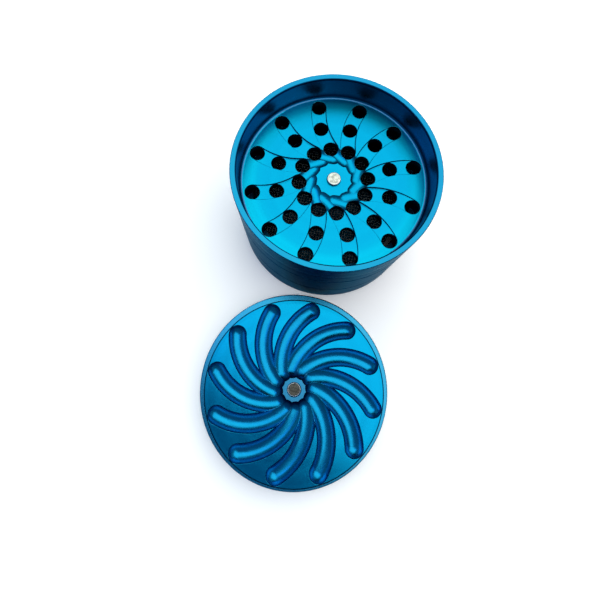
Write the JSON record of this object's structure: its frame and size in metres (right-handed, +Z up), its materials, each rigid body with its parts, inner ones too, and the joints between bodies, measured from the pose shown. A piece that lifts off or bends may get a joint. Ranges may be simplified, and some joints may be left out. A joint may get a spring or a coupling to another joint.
{
  "type": "pill crusher",
  "caption": "Round anodised aluminium pill crusher, open: a drilled grinding chamber with curved channels over a sieve chamber and cup, its grooved twist lid lying beside it.",
  "frame": {"origin": "centre of the base's flat underside, on the axis of the screwed stack", "axes": "+Z up along the stack's axis; the open lid lies towards -Y, so Y is the longest extent"},
  "size_m": [0.0648, 0.1292, 0.044],
  "materials": {
    "anodised_blue": "satin blue anodised",
    "nickel_plate": "nickel plated",
    "steel_mesh": "woven wire",
    "spring_steel": "rolled"
  },
  "bodies": {
    "base": {"base_cup": "anodised_blue"},
    "screen": {"mesh_screen": "steel_mesh", "screen_ring": "spring_steel"},
    "sieve": {"sieve_chamber": "anodised_blue"},
    "magnet": {"chamber_magnet": "nickel_plate"},
    "chamber": {"grinding_chamber": "anodised_blue"},
    "lid_magnet": {"lid_magnet": "nickel_plate"},
    "lid": {"lid": "anodised_blue"}
  },
  "joints": [
    {"name": "sieve_rise", "type": "slide", "parent": "base", "child": "screen", "axis": [0, 0, 1], "range_m": [0, 0.0048]},
    {"name": "sieve_unscrew", "type": "hinge", "parent": "screen", "child": "sieve", "pos_m": [0, 0, 0.013], "axis": [0, 0, 1], "range_deg": [0, 1080]},
    {"name": "chamber_rise", "type": "slide", "parent": "sieve", "child": "magnet", "axis": [0, 0, 1], "range_m": [0, 0.0048]},
    {"name": "chamber_unscrew", "type": "hinge", "parent": "magnet", "child": "chamber", "pos_m": [0, 0, 0.028], "axis": [0, 0, 1], "range_deg": [0, 1080]},
    {"name": "lid_flip", "type": "hinge", "parent": "base", "child": "lid_magnet", "pos_m": [0, -0.03265, 0.0285], "axis": [-1, 0, 0], "range_deg": [0, 180]},
    {"name": "lid_turn", "type": "hinge", "parent": "lid_magnet", "child": "lid", "pos_m": [0, -0.0653, 0], "axis": [0, 0, 1], "continuous": true}
  ],
  "couplings": [
    {"joint": "sieve_rise", "follows": "sieve_unscrew", "m_per_rad": 0.00025465},
    {"joint": "chamber_rise", "follows": "chamber_unscrew", "m_per_rad": 0.00025465}
  ]
}
